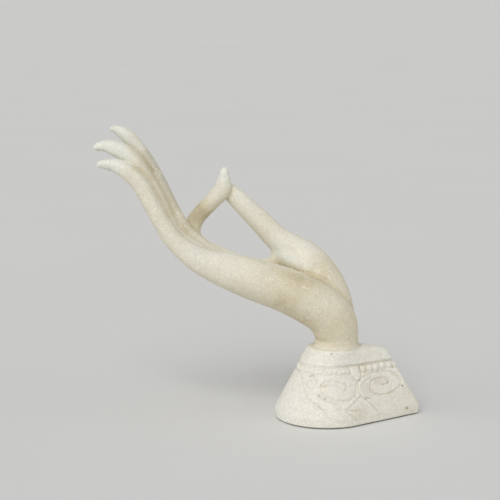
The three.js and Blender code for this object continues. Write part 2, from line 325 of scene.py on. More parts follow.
def filled(points, normals, mean):
    """Fills the creases near some places to soft valleys, and leaves the rest."""
    rise = np.maximum(hollowness(points, normals, mean, FILL_ROUNDS), 0.0)
    share = np.zeros(len(points))
    for place, reach in FILLED_PLACES:
        near = smooth_step(reach, FILL_CORE * reach, gap_to(points, place))
        share = np.maximum(share, near)
    return points + normals * (rise * share)[:, None]


def streak(points, normals, start, end, reach):
    """How near each point of the hand's front is to a line in the front view, from 0 to 1."""
    flat = points[:, [0, 2]] / MM
    way = np.array(end) - np.array(start)
    t = np.clip((flat - start) @ way / (way @ way), 0, 1)
    gap = np.linalg.norm(flat - start - t[:, None] * way, axis=1)
    return np.exp(-((gap / reach) ** 2)) * smooth_step(*FRONT_FACING, normals[:, 1])


def flattened(points, normals, mean):
    """Sinks the ring finger's root to a shallow valley between its neighbours."""
    start, end, reach, rounds, share = SUNK_RIDGE
    mark = share * streak(points, normals, start, end, reach)
    return points + (evened(points, mean, rounds) - points) * mark[:, None]


def swelled(points, normals):
    """Raises the bend between the thumb and its ball, and the ball's edge above the crease."""
    rise = np.zeros(len(points))
    for height, reach, middle in SWELLS:
        rise += height * np.exp(-((gap_to(points, middle) / reach) ** 2))
    for height, reach, start, end in SWELLED_LINES:
        rise += height * streak(points, normals, start, end, reach)
    return points + normals * (rise * MM)[:, None]


def hand_patina_light_and_shade(points, normals, mean):
    """Patina with painted light and shade, and grey painted shade: white fingertips, warmer fingers,
    hollows, undersides, heel and wrist.
    """
    hollow = hollowness(points, normals, mean, HOLLOW_ROUNDS) / MM
    x, _, z = (points / MM).T
    wrist = smooth_step(*WRIST_HEIGHTS, z - WRIST_LEAN * x)
    fingers = smooth_step(*FINGERS_START, -x) * smooth_step(*FINGERS_END, -x)
    tips = smooth_step(*TIPS_START, -x)
    raised_tip = smooth_step(*RAISED_TIP_HEIGHTS, z) * smooth_step(*RAISED_TIP_START, -x)
    underside = smooth_step(*UNDERSIDE_FACING, normals[:, 2]) * smooth_step(*UNDERSIDE_HEIGHTS, z)
    # Warmer towards the wrist and on the fingers, whiter at the tips: stone tone and painted light and
    # shade. Warmer undersides: painted shade.
    patina_light_and_shade = HAND_PATINA + WRIST_TONE_AND_SHADE * wrist + FINGERS_TONE_AND_SHADE * fingers
    patina_light_and_shade += TIPS_TONE_AND_LIGHT * tips + RAISED_TIP_TONE_AND_LIGHT * raised_tip + UNDERSIDE_SHADE * underside
    # Warmer hollows: painted shade, with some patina
    patina_light_and_shade += np.clip(HOLLOW_SHADE_AND_PATINA * hollow, *HOLLOW_LIMITS)
    # Spots of warm painted shade
    for warmth, (middle_x, middle_z), (half_x, half_z) in WARM_SHADE_SPOTS:
        patina_light_and_shade += warmth * np.exp(-(((x - middle_x) / half_x) ** 2) - ((z - middle_z) / half_z) ** 2)
    # Painted shade and light along lines, and grey painted shade, with a few stains
    shade_and_dirt = np.zeros(len(points))
    for warmth, shade, reach, start, end in STAINS_AND_PAINTED_LIGHT:
        mark = streak(points, normals, start, end, reach)
        patina_light_and_shade += warmth * mark
        shade_and_dirt += shade * mark
    return patina_light_and_shade, shade_and_dirt


def carved_hand(node):
    source = new_object("hand_source", node.data.copy())
    remesh = source.modifiers.new("even_faces", "REMESH")
    remesh.mode = "VOXEL"
    remesh.voxel_size = HAND_VOXEL * MM
    mesh = evaluated_copy(source, "carved_hand")
    bpy.data.objects.remove(source)
    mean = neighbour_mean(mesh)
    points = relaxed(read_points(mesh), mean, HAND_SMOOTHING)
    write_points(mesh, points)
    points = filled(points, read_normals(mesh), mean)
    points = flattened(points, read_normals(mesh), mean)
    for place, reach, rounds in SOFT_PLACES:
        points = softened(points, mean, place, reach, rounds)
    write_points(mesh, points)
    points = swelled(points, read_normals(mesh))
    write_points(mesh, points)
    write_patina_light_and_shade(mesh, *hand_patina_light_and_shade(points, read_normals(mesh), mean))
    shade_smooth(mesh)
    return new_object("carved_hand", mesh)


# The plinth


def outline_shape(back, reach, bend):
    """Centre and corner on the plinth's long axis, and the angle where its straight sides start."""
    centre = bend - back
    corner = reach - CORNER_RADIUS
    lean = math.acos((bend - CORNER_RADIUS) / (corner - centre))
    return centre, corner, lean


def outline_breaks():
    """Distances at mid-height where the outline's five pieces end, from the tip of the corner."""
    centre, corner, lean = outline_shape(*MIDDLE_SIZES)
    bend = MIDDLE_SIZES[2]
    side = math.sqrt((corner - centre) ** 2 - (bend - CORNER_RADIUS) ** 2)
    lengths = [CORNER_RADIUS * lean, side, bend * 2 * (math.pi - lean), side, CORNER_RADIUS * lean]
    return np.concatenate([[0.0], np.cumsum(lengths)])


BREAKS = outline_breaks()
GIRTH = BREAKS[-1]


def outline(back, reach, bend, along):
    """Points of one outline. along is the distance from the corner's tip, measured at mid-height."""
    centre, corner, lean = outline_shape(back, reach, bend)
    along = np.mod(along, GIRTH)
    piece = np.clip(np.searchsorted(BREAKS, along, side="right") - 1, 0, 4)
    share = (along - BREAKS[piece]) / (BREAKS[piece + 1] - BREAKS[piece])
    near = np.array([corner + CORNER_RADIUS * math.cos(lean), CORNER_RADIUS * math.sin(lean)])
    far = np.array([centre + bend * math.cos(lean), bend * math.sin(lean)])
    mirror = np.array([1.0, -1.0])
    angle = np.choose(
        piece,
        [lean * share, share, lean + 2 * (math.pi - lean) * share, share, lean * (share - 1)],
    )
    turned = np.stack([np.cos(angle), np.sin(angle)], 1)
    tip = np.array([corner, 0.0]) + CORNER_RADIUS * turned
    round_end = np.array([centre, 0.0]) + bend * turned
    left = near + (far - near) * share[:, None]
    right = (far + (near - far) * share[:, None]) * mirror
    pick = piece[:, None]
    flat = np.where(pick == 1, left, np.where(pick == 2, round_end, np.where(pick == 3, right, tip)))
    c, s = math.cos(PLINTH_TURN), math.sin(PLINTH_TURN)
    return np.stack([flat[:, 0] * c - flat[:, 1] * s, flat[:, 0] * s + flat[:, 1] * c], 1)


def profile_rows():
    """Rows of the plinth's side: height and outline sizes, at even steps up the profile."""
    table = np.array(PLINTH_PROFILE)
    steps = np.hypot(np.diff(table[:, 0]), np.diff(table[:, 2]))
    travel = np.concatenate([[0.0], np.cumsum(steps)])
    at = np.linspace(0.0, travel[-1], int(travel[-1] / ROW_STEP))
    return np.stack([np.interp(at, travel, table[:, i]) for i in range(4)], 1)


def grid_normals(grid):
    """Outward normals of a closed band of points, rows going up and columns going round."""
    round_way = np.roll(grid, -1, axis=1) - np.roll(grid, 1, axis=1)
    up_way = np.gradient(grid, axis=0)
    normal = np.cross(round_way, up_way)
    return normal / np.linalg.norm(normal, axis=2, keepdims=True)


# Relief of the plinth, as (distance along the outline at mid-height, height) in millimetres.
# The far side repeats the near side, mirrored at the corner.
# Bud: distance along, top, length and half width, then its taper, its rise and the fall to its sides
BUD = (248.5, 56.8, 13.6, 7.4)
BUD_TAPER = 0.6
BUD_RISE = 0.8
BUD_ROUNDING = 0.03
# Shares of the distances across and up that count as the distance inside the bud's edge
BUD_EDGE_SHARES = (0.8, 0.9)
# How far inside its edge the bud starts and is full, and a distance that is surely outside
BUD_SHOULDER = (-0.2, 1.3)
FAR_OUTSIDE = -5.0
# How far above its top the bud's edge lies
BUD_TOP_PLAY = 0.4
# Rim cut round the bud: distance outside its edge, half width, depth, and its dirt and painted shade
BUD_RIM = (0.7, 0.8, 0.85, 0.24)
# Heights above the bud's top at which the rim starts and is full
BUD_RIM_FADE = (0.6, -1.0)
# Row of beads: its height, how far a bead strays along and up, and the heights of its sunk band's edges
BEAD_ROW = 53.2
BEAD_STRAY = (0.35, 0.3)
BEAD_BAND_LOW = (49.0, 50.2)
BEAD_BAND_HIGH = (58.0, 57.0)
# Crisp beads: how many on each side of the one at the corner, spacing, radius and rise
CORNER_BEADS = 5
BEAD_PITCH = 9.65
BEAD_RADIUS = 3.55
BEAD_RISE = 1.75
# Worn beads: where the first one is, how many, spacing, radius, and their rise and how much it varies
FIRST_WORN_BEAD = 238.0
WORN_BEADS = 15
WORN_BEAD_PITCH = 6.1
WORN_BEAD_RADIUS = 2.7
WORN_BEAD_RISE = 1.15
WORN_BEAD_VARIES = 0.35
# The bead band's depth and its dirt and painted shade, where it is worn and where it is crisp, and the
# rise from which a bead gets no dirt or painted shade
BEAD_BAND_DEPTH = (0.6, 1.25)
BEAD_BAND_SHADE_AND_DIRT = (0.18, 0.32)
UNSHADED_RISE = 0.7
# Line under the collar: height and half width, then its lift and its dirt and painted shade, where worn
# and where crisp
COLLAR_LINE = 58.1
COLLAR_LINE_WIDTH = 0.8
COLLAR_LIFT = (0.15, -0.6)
COLLAR_SHADE_AND_DIRT = (0.22, 0.34)
# Distances from the corner at which the beads and the collar's line are worn, and at which they are crisp
BEAD_WEAR = (76.0, 56.0)
COLLAR_WEAR = (105.0, 60.0)
# A line is worked out as far as this many times its reach
LINE_MARGIN = 3
# Distances along are shorter near the top than at mid-height, at most by this factor
ALONG_STRETCH = 1.6
# Cut lines: reach, depth as a share of the groove depth, and marks
GROOVE_DEPTH = 1.3
# How much dirt and painted shade the grooves take
GROOVE_SHADE_AND_DIRT = 0.3
GROOVES = [
    # Scroll to the right of the bud
    (1.05, 0.9, [
        (247.5, 41.5), (250, 43.2), (256, 45.4), (264, 47.3), (274, 48.3), (285, 48.1), (294, 46.4),
        (300, 42.6), (302, 37.6), (299.3, 33), (293, 29.6), (284, 26.9), (275, 26.1), (267.5, 27),
        (263, 29.3), (261.2, 33), (262.6, 38), (267.5, 41.4), (275, 42.2), (282, 41.6), (286, 39.6),
        (285.8, 37), (282, 35.4), (277, 35.2),
    ]),
    # Stem of that scroll, down to the foot
    (1.0, 0.75, [(251.6, 24.4), (254, 20.8), (257, 16.6), (259.6, 12), (261.6, 7.6), (262.8, 3)]),
    (0.9, 0.9, [(246.4, 41.5), (245.9, 36), (246.2, 31), (247.6, 27.5), (251.4, 24.8)]),
    # Scroll to the left of the bud
    (1.05, 0.8, [
        (244.4, 40), (243.2, 34.5), (241.2, 30.4), (236, 28), (229, 27), (222, 27.4), (215, 29.6),
        (208.5, 33), (204.5, 37), (203.6, 41), (207, 44), (214, 45.2), (222, 44.6), (228.5, 42.5),
        (232, 39.4), (231, 36.8), (227.5, 36),
    ]),
    (1.0, 0.75, [(203.4, 31.4), (206.6, 28.6), (211, 26.6), (215, 25.4), (219.5, 23.6)]),
    (0.9, 0.5, [(209.5, 41.6), (209.8, 38.4), (210.6, 35.2)]),
    (0.9, 0.5, [(235.5, 38.2), (241, 39.3)]),
    # Leaf below the bud
    (1.0, 0.45, [(245, 27.8), (239, 24.4), (233.5, 21), (229.6, 18.6)]),
    (0.9, 0.6, [(227.3, 19), (229.5, 15.6), (233.5, 11), (237, 6)]),
    (0.9, 0.8, [(228.5, 17.7), (234, 16.7), (241.5, 15.6)]),
    # Long line from the round end down to the foot
    (1.1, 0.9, [
        (154.28, 50.4), (160, 49.9), (166, 49.2), (172, 47.8), (177, 44.8), (182, 39.5), (187, 34),
        (192, 30), (198, 26.2), (204, 22.5), (209, 18.6), (212, 14), (214, 9),
    ]),
    # Small scroll above it
    (1.05, 0.85, [
        (181, 42.5), (183.5, 46), (187.5, 48.6), (192.5, 49.2), (197, 46.4), (198, 42), (195, 38),
        (190, 37), (186.8, 39.6), (187.5, 43), (191, 44), (193, 42),
    ]),
    # Lines of the round end, below the arch
    (1.1, 0.5, [
        (154.28, 43), (159, 41), (164, 36), (168, 29.5), (171, 22), (176, 17.5), (184, 16), (191, 17),
    ]),
]
# Raised lines: half width, rise as a share of the band rise, and marks
BAND_RISE = 1.4
BANDS = [
    (1.8, 0.6, [(265, 46), (257, 43.9), (250.6, 40.6), (248.3, 36), (248.5, 31), (250.6, 27.4)]),
    (1.5, 0.35, [(210, 42), (214, 42.7), (222, 42.1), (227, 40.4), (229.4, 38)]),
    (1.3, 0.5, [(254.2, 24.6), (256.8, 21.2), (259.8, 17), (262.4, 12.4), (264.4, 8), (265.6, 3)]),
    (1.3, 0.45, [(245.5, 30.6), (238.6, 26.8), (232.4, 23.4), (227.8, 20.2)]),
    (1.3, 0.5, [(205.2, 34.6), (209.6, 30.4), (214, 28), (220, 25.6)]),
    (1.4, 0.4, [(190.6, 27), (196.6, 24.6), (203, 20.6), (208.6, 16.4)]),
]
# Sunk fields: half length, half height, depth and middle
# How much dirt and painted shade the sunk fields take
HOLLOW_SHADE_AND_DIRT = 0.22
HOLLOWS = [
    (6.0, 7.0, 0.45, (256.5, 33.5)),
    (7.0, 4.0, 0.3, (275, 38.5)),
    (11.0, 7.5, 0.4, (242, 14.5)),
]
# Natural pits: half length, half height, depth, how much darker their fill is, and middle
PITS = [
    (2.4, 1.6, 0.8, 0.45, (253.6, 25.6)),
    (2.7, 1.6, 0.6, 0.38, (202.8, 32)),
    (1.7, 1.1, 0.8, 0.6, (209, 29)),
    (3.6, 1.9, 0.7, 0.5, (206.8, 41)),
    (1.0, 0.9, 0.6, 0.8, (285.4, 37)),
    (1.1, 1.0, 0.8, 1.1, (300.2, 31)),
    (1.8, 1.8, 0.7, 0.7, (292.6, 8.6)),
    (1.0, 0.8, 0.6, 0.9, (302.4, 50.6)),
    (1.8, 0.6, 0.5, 1.3, (207.5, 71)),
    (4.0, 1.6, 0.5, 0.5, (190, 49)),
    (2.4, 1.6, 0.4, 0.3, (168, 12)),
]


def spline(points, step=0.7):
    """A smooth line through the points, with one about every step millimetres."""
    points = np.array(points, float)
    padded = np.vstack([2 * points[0] - points[1], points, 2 * points[-1] - points[-2]])
    made = []
    for a, b, c, d in zip(padded, padded[1:], padded[2:], padded[3:]):
        count = max(2, int(np.linalg.norm(c - b) / step))
        t = np.linspace(0, 1, count, endpoint=False)[:, None]
        made.append(0.5 * (2 * b + (c - a) * t + (2 * a - 5 * b + 4 * c - d) * t**2
                           + (3 * b - a - 3 * c + d) * t**3))
    made.append(points[-1:])
    return np.vstack(made)


class Side:
    """The plain side of the plinth as a grid, with distances measured on it."""

    def __init__(self, rows):
        self.rows = rows
        self.along = np.arange(COLUMNS) * GIRTH / COLUMNS
        rings = [outline(*row[1:], self.along) for row in rows]
        self.grid = np.stack([
            np.column_stack([ring, np.full(COLUMNS, row[0])]) for ring, row in zip(rings, rows)
        ])
        self.lift = np.zeros(self.grid.shape[:2])
        self.grime_and_shade = np.zeros(self.grid.shape[:2])

    def place(self, marks):
        """Points on the plain side for (distance along, height) marks."""
        marks = np.atleast_2d(np.array(marks, float))
        found = []
        for along, height in marks:
            sizes = [np.interp(height, self.rows[:, 0], self.rows[:, i]) for i in (1, 2, 3)]
            found.append([*outline(*sizes, np.array([along]))[0], height])
        return np.array(found)

    def window(self, marks, margin):
        """Rows and columns that can lie within margin of the marks."""
        low, high = marks[:, 1].min() - margin, marks[:, 1].max() + margin
        rows = np.nonzero((self.rows[:, 0] >= low) & (self.rows[:, 0] <= high))[0]
        margin = ALONG_STRETCH * margin
        start, end = marks[:, 0].min() - margin, marks[:, 0].max() + margin
        step = GIRTH / COLUMNS
        columns = np.arange(math.floor(start / step), math.ceil(end / step) + 1) % COLUMNS
        return np.ix_(rows, np.unique(columns))

    def distance(self, marks, cells):
        """Distance from the cells of a window to a line through the marks."""
        line = self.place(marks)
        points = self.grid[cells].reshape(-1, 3)
        nearest = np.full(len(points), np.inf)
        for start, end in zip(line, line[1:]):
            way = end - start
            t = np.clip((points - start) @ way / (way @ way), 0, 1)
            gap = points - start - t[:, None] * way
            nearest = np.minimum(nearest, (gap**2).sum(1))
        return np.sqrt(nearest).reshape(self.grid[cells].shape[:2])


def mirrored(marks):
    return [(GIRTH - along, height) for along, height in marks]


def both_sides(marks):
    return [marks, mirrored(marks)]


def gap_along(along, centre):
    """Distance round the outline from centre, with its sign."""
    return np.mod(along - centre + GIRTH / 2, GIRTH) - GIRTH / 2


def from_corner(along):
    """Distance from the corner's tip, which is the same on both sides."""
    return np.minimum(along, GIRTH - along)


def lines_on(side, table):
    """The lines of a table on both sides: cells by the line, their gap to it in reaches, and size."""
    for reach, size, marks in table:
        for line in both_sides(marks):
            line = spline(line)
            cells = side.window(line, LINE_MARGIN * reach)
            yield cells, side.distance(line, cells) / reach, size


def oval(height, along, half_length, half_height, mark, edge):
    """A field round a mark, 1 in its middle and 0 outside. A higher edge is a crisper one."""
    centre, middle = mark
    across = gap_along(along, centre) / half_length
    up = (height - middle) / half_height
    return np.exp(-((across**2 + up**2) ** edge))


def carve(side):
    """Adds the relief to side.lift, where up is out of the stone, and the dirt and painted shade of its
    cuts to the side's grime map.
    """
    height = side.rows[:, 0][:, None]
    along = side.along[None, :]
    # Wear takes up to 30 percent off the depth of the lines, more in some places than in others
    wear = 0.85 + 0.15 * np.sin(along * 0.11 + 1.7) * np.sin(along * 0.037 + height * 0.09)
    grooves = np.zeros_like(side.lift)
    for cells, gap, depth in lines_on(side, GROOVES):
        grooves[cells] = np.maximum(grooves[cells], depth * np.exp(-(gap**2)))
    side.lift -= grooves * wear * GROOVE_DEPTH
    side.grime_and_shade += GROOVE_SHADE_AND_DIRT * grooves
    for cells, gap, rise in lines_on(side, BANDS):
        side.lift[cells] += BAND_RISE * rise * np.exp(-(gap**4))
    for half_length, half_height, depth, mark in HOLLOWS:
        for (place,) in both_sides([mark]):
            dip = oval(height, along, half_length, half_height, place, 2)
            side.lift -= depth * dip
            side.grime_and_shade += HOLLOW_SHADE_AND_DIRT * dip
    wear_collar(side, height, along)
    carve_beads(side, height, along)
    carve_buds(side, height, along)
    for half_length, half_height, depth, shade_and_dirt, mark in PITS:
        pit = oval(height, along, half_length, half_height, mark, 1.5)
        side.lift -= depth * pit
        side.grime_and_shade += shade_and_dirt * pit


def wear_collar(side, height, along):
    """Deepens the line under the collar by the corner, and fills it towards the round end."""
    crisp = smooth_step(*COLLAR_WEAR, from_corner(along))
    line = np.exp(-(((height - COLLAR_LINE) / COLLAR_LINE_WIDTH) ** 2))
    side.lift += line * between(COLLAR_LIFT, crisp)
    # The line is darker: painted shade with some dirt
    side.grime_and_shade += line * between(COLLAR_SHADE_AND_DIRT, crisp)


def carve_beads(side, height, along):
    """A sunk band of beads, crisp by the corner and worn beyond the bud."""
    crisp = smooth_step(*BEAD_WEAR, from_corner(along))
    band = smooth_step(*BEAD_BAND_LOW, height) * smooth_step(*BEAD_BAND_HIGH, height)
    crisp_beads = range(-CORNER_BEADS, CORNER_BEADS + 1)
    beads = [(k * BEAD_PITCH, BEAD_RADIUS, BEAD_RISE) for k in crisp_beads]
    for k in range(WORN_BEADS):
        start = FIRST_WORN_BEAD - k * WORN_BEAD_PITCH
        rise = WORN_BEAD_RISE + WORN_BEAD_VARIES * math.sin(k * 2.3)
        beads += [(centre, WORN_BEAD_RADIUS, rise) for centre in (start, GIRTH - start)]
    stray_along, stray_up = BEAD_STRAY
    bump = np.zeros_like(side.lift)
    for i, (centre, radius, rise) in enumerate(beads):
        mark = (centre + stray_along * math.sin(i * 2.3), BEAD_ROW + stray_up * math.cos(i * 1.9))
        gap = np.linalg.norm(side.grid - side.place([mark])[0], axis=2) / radius
        bump = np.maximum(bump, np.sqrt(np.clip(1 - gap**2, 0, 1)) * rise)
    side.lift += band * (bump - between(BEAD_BAND_DEPTH, crisp))
    # The band between the beads is darker: painted shade with some dirt
    sunk_shade_and_dirt = np.clip(1 - bump / UNSHADED_RISE, 0, 1)
    side.grime_and_shade += band * sunk_shade_and_dirt * between(BEAD_BAND_SHADE_AND_DIRT, crisp)


def carve_buds(side, height, along):
    """A bud hanging from the collar on either side, in a cut outline."""
    bud_along, top, length, half_width = BUD
    across_share, up_share = BUD_EDGE_SHARES
    rim_gap, rim_width, rim_depth, rim_shade_and_dirt = BUD_RIM
    fade_start, fade_end = BUD_RIM_FADE
    for centre in (bud_along, GIRTH - bud_along):
        across = np.abs(gap_along(along, centre))
        t = np.clip((top - height) / length, 0, 1)
        half = half_width * np.maximum(1 - t**2, 0) ** BUD_TAPER
        inside = (half - across) * across_share
        inside = np.minimum(inside, (top + BUD_TOP_PLAY - height) * up_share)
        inside = np.where(height < top - length, FAR_OUTSIDE, inside)
        body = smooth_step(*BUD_SHOULDER, inside)
        rim = np.exp(-(((inside + rim_gap) / rim_width) ** 2)) * (1 - body)
        rim = rim * smooth_step(top + fade_start, top + fade_end, height)
        crown = BUD_RISE - BUD_ROUNDING * across**2
        side.lift = side.lift * (1 - body) + body * crown - rim_depth * rim
        # The rim is darker: painted shade with some dirt
        side.grime_and_shade = side.grime_and_shade * (1 - body) + rim_shade_and_dirt * rim


def skin_of(rings):
    """Faces between equal rings of points, going round and up."""
    rows, columns = len(rings), rings[0].shape[0]
    index = np.arange(rows * columns).reshape(rows, columns)
    a, b = index[:-1], np.roll(index[:-1], -1, axis=1)
    c, d = np.roll(index[1:], -1, axis=1), index[1:]
    return np.stack([a, b, c, d], -1).reshape(-1, 4).tolist()


def closed_skin(rings):
    """Faces between equal rings, and one face each over the first and the last ring."""
    columns = rings[0].shape[0]
    last = len(rings) * columns
    return skin_of(rings) + [list(range(columns - 1, -1, -1)), list(range(last - columns, last))]


def carved_plinth():
    side = Side(profile_rows())
    carve(side)
    normals = grid_normals(side.grid)
    flat = side.grid.reshape(-1, 3)
    worn = sum(depth * noise_at(flat, width, seed) for depth, width, seed in WORN_SURFACE)
    fade = smooth_step(FELT, FELT + FOOT_FADE, side.rows[:, 0])[:, None]
    lift = (side.lift + worn.reshape(side.lift.shape)) * fade
    points = side.grid + normals * lift[:, :, None]
    # The stone keeps within the box of its plain form
    points = np.clip(points, flat.min(0), flat.max(0))
    rings = list(points)
    edge = rings[-1]
    middle = np.array([0.0, 0.0, PLINTH_TOP])
    for step in range(1, TOP_RINGS + 1):
        share = 1 - (1 - TOP_RING_SHARE) * step / TOP_RINGS
        ring = middle + (edge - middle) * share
        ring[:, 2] = edge[:, 2] * share + PLINTH_TOP * (1 - share)
        rings.append(ring)
    mesh = mesh_of("carved_plinth", rings, closed_skin(rings))
    # Dirt and painted shade of the cuts; the top rings get none
    grime_and_shade = np.vstack([side.grime_and_shade, np.zeros((TOP_RINGS, COLUMNS))])
    near_corner = smooth_step(*CORNER_RANGE, from_corner(side.along))
    patina_light_and_shade = PLINTH_PATINA + CORNER_PATINA * near_corner + GRIME_AND_SHADE_PATINA * grime_and_shade
    write_patina_light_and_shade(mesh, patina_light_and_shade.ravel(), GRIME_AND_SHADE_GREY * grime_and_shade.ravel())
    solid = new_object("plinth_source", mesh)
    tools = bore_out(solid, PLINTH_BORES)
    made = evaluated_copy(solid, "carved_plinth")
    for extra in [*tools, solid]:
        bpy.data.objects.remove(extra)
    shade_by_angle(made)
    return new_object("carved_plinth", made)


def bore_out(solid, bores):
    """Cuts upright bores in a solid with modifiers, and returns the tools that they use."""
    tools = []
    for number, (radius, offset, low, high) in enumerate(bores):
        form = bmesh.new()
        bmesh.ops.create_cone(
            form, cap_ends=True, segments=BORE_SIDES, radius1=radius * MM, radius2=radius * MM,
            depth=(high - low) * MM,
        )
        bmesh.ops.translate(form, verts=form.verts, vec=(offset * MM, 0, (low + high) / 2 * MM))
        mesh = bpy.data.meshes.new(f"bore_{number}")
        form.to_mesh(mesh)
        form.free()
        tool = new_object(f"bore_{number}", mesh)
        cut = solid.modifiers.new(f"bore_{number}", "BOOLEAN")
        cut.operation = "DIFFERENCE"
        cut.solver = "EXACT"
        cut.object = tool
        tools.append(tool)
    return tools


def shade_by_angle(mesh):
    """Smooth shading, but crisp where two faces meet at more than the crease angle."""
    shade_smooth(mesh)
    form = bmesh.new()
    form.from_mesh(mesh)
    for edge in form.edges:
        if len(edge.link_faces) == 2 and edge.calc_face_angle(0.0) > CREASE_ANGLE:
            edge.smooth = False
    form.to_mesh(mesh)
    form.free()


# Mortar and felt


def mortar_cove():
    """The mortar bed, with the small cove that it makes round the wrist's foot."""
    half_x, half_y = WRIST_FOOT
    angle = np.arange(COVE_COLUMNS) * 2 * math.pi / COVE_COLUMNS
    wave = 0.18 * np.sin(angle * 5 + 1.0) + 0.12 * np.sin(angle * 11 + 2.0)
    rings = []
    for out, height in spline(COVE_SECTION, step=COVE_STEP):
        grow = out + (wave if out > COVE_WAVES_FROM else 0.0)
        rings.append(np.column_stack([
            (half_x + grow) * np.cos(angle),
            (half_y + grow) * np.sin(angle),
            np.full(COVE_COLUMNS, height),
        ]))
    faces = skin_of(rings)
    last = (len(rings) - 1) * COVE_COLUMNS
    for i in range(COVE_COLUMNS):
        j = (i + 1) % COVE_COLUMNS
        faces.append([last + i, last + j, j, i])
    mesh = mesh_of("mortar_cove", rings, faces)
    shade_by_angle(mesh)
    return new_object("mortar_cove", mesh)


def felt_sheet():
    """The felt under the foot, with a soft cut edge."""
    sizes = [size - FELT_INSET for size in FOOT_SIZES]
    along = np.arange(FELT_COLUMNS) * GIRTH / FELT_COLUMNS
    fray = 0.12 * np.sin(along * 1.9) + 0.08 * np.sin(along * 4.7 + 1)
    rings = []
    for draw_in, height in FELT_EDGE:
        ring = outline(*[size - draw_in for size in sizes], along)
        middle = ring.mean(0)
        way = (ring - middle) / np.linalg.norm(ring - middle, axis=1, keepdims=True)
        ring = ring - way * np.abs(fray)[:, None]
        rings.append(np.column_stack([ring, np.full(FELT_COLUMNS, height)]))
    mesh = mesh_of("felt_sheet", rings, closed_skin(rings))
    shade_by_angle(mesh)
    return new_object("felt_sheet", mesh)


# Materials


class Shader:
    """Short calls for the nodes of one material."""

    def __init__(self, name):
        self.material = bpy.data.materials.new(name)
        self.material.use_nodes = True
        self.tree = self.material.node_tree
        self.surface = self.tree.nodes["Principled BSDF"]
        self.place = self.tree.nodes.new("ShaderNodeTexCoord").outputs["Object"]

    def link(self, value, socket):
        self.tree.links.new(value, socket)

    def noise(self, size, detail=2.0, rough=0.5, warp=0.0):
        """Noise with features about size millimetres wide."""
        made = self.tree.nodes.new("ShaderNodeTexNoise")
        made.inputs["Scale"].default_value = 1 / (size * MM)
        made.inputs["Detail"].default_value = detail
        made.inputs["Roughness"].default_value = rough
        made.inputs["Distortion"].default_value = warp
        self.link(self.place, made.inputs["Vector"])
        return made.outputs["Fac"]

    def value(self, name):
        """A value that the mesh holds for each vertex."""
        made = self.tree.nodes.new("ShaderNodeAttribute")
        made.attribute_name = name
        return made.outputs["Fac"]

    def cells(self, size):
        """Cells about size millimetres wide: distance to the middle, and a random colour each."""
        made = self.tree.nodes.new("ShaderNodeTexVoronoi")
        made.inputs["Scale"].default_value = 1 / (size * MM)
        self.link(self.place, made.inputs["Vector"])
        return made.outputs["Distance"], made.outputs["Color"]

    def ramp(self, value, *stops):
        """Turns a value into a grey or colour by stops of (position, colour or number)."""
        made = self.tree.nodes.new("ShaderNodeValToRGB")
        self.link(value, made.inputs["Fac"])
        steps = made.color_ramp.elements
        while len(steps) < len(stops):
            steps.new(0.5)
        for step, (position, colour) in zip(steps, stops):
            step.position = position
            step.color = (colour,) * 3 + (1,) if isinstance(colour, (int, float)) else (*colour, 1)
        return made.outputs["Color"]

    def math(self, way, a, b):
        made = self.tree.nodes.new("ShaderNodeMath")
        made.operation = way
        for socket, value in zip(made.inputs, (a, b)):
            if isinstance(value, (int, float)):
                socket.default_value = value
            else:
                self.link(value, socket)
        return made.outputs["Value"]

    def mix(self, share, a, b, blend="MIX"):
        made = self.tree.nodes.new("ShaderNodeMix")
        made.data_type = "RGBA"
        made.blend_type = blend
        for name, value in (("Factor_Float", share), ("A_Color", a), ("B_Color", b)):
            socket = next(s for s in made.inputs if s.identifier == name)
            if isinstance(value, (int, float)):
                socket.default_value = value
            elif isinstance(value, tuple):
                socket.default_value = (*value, 1)
            else:
                self.link(value, socket)
        return next(s for s in made.outputs if s.identifier == "Result_Color")

    def times(self, a, b):
        """Two colours multiplied."""
        return self.mix(1.0, a, b, "MULTIPLY")

    def bump(self, height, depth, below=None):
        """Bump depth millimetres deep, on top of another bump if there is one."""
        made = self.tree.nodes.new("ShaderNodeBump")
        made.inputs["Distance"].default_value = depth * MM
        self.link(height, made.inputs["Height"])
        if below is not None:
            self.link(below, made.inputs["Normal"])
        return made.outputs["Normal"]


# The stones' shared patterns: their width in millimetres, and for some their strength or colour
CLOUD_WIDTH = 46
CLOUD_STRENGTH = 0.7
MOTTLE_WIDTH = 7
GRAIN_WIDTH = 2.1
FINE_GRAIN_WIDTH = 1.1
CRYSTAL_SPACING = 2.9
CRYSTAL_PATCH_WIDTH = 19
CRYSTAL_COLOUR = (0.94, 0.93, 0.87)
CRYSTAL_ROUGHNESS = (0.22, 0.22, 0.22)
SPECK_SPACING = 11.0
SPECK_SHARE = 0.06
SPECK_STRENGTH = 0.6
# Tint where the dirt and painted shade are full
SHADE_AND_DIRT_TINT = (0.62, 0.61, 0.58)


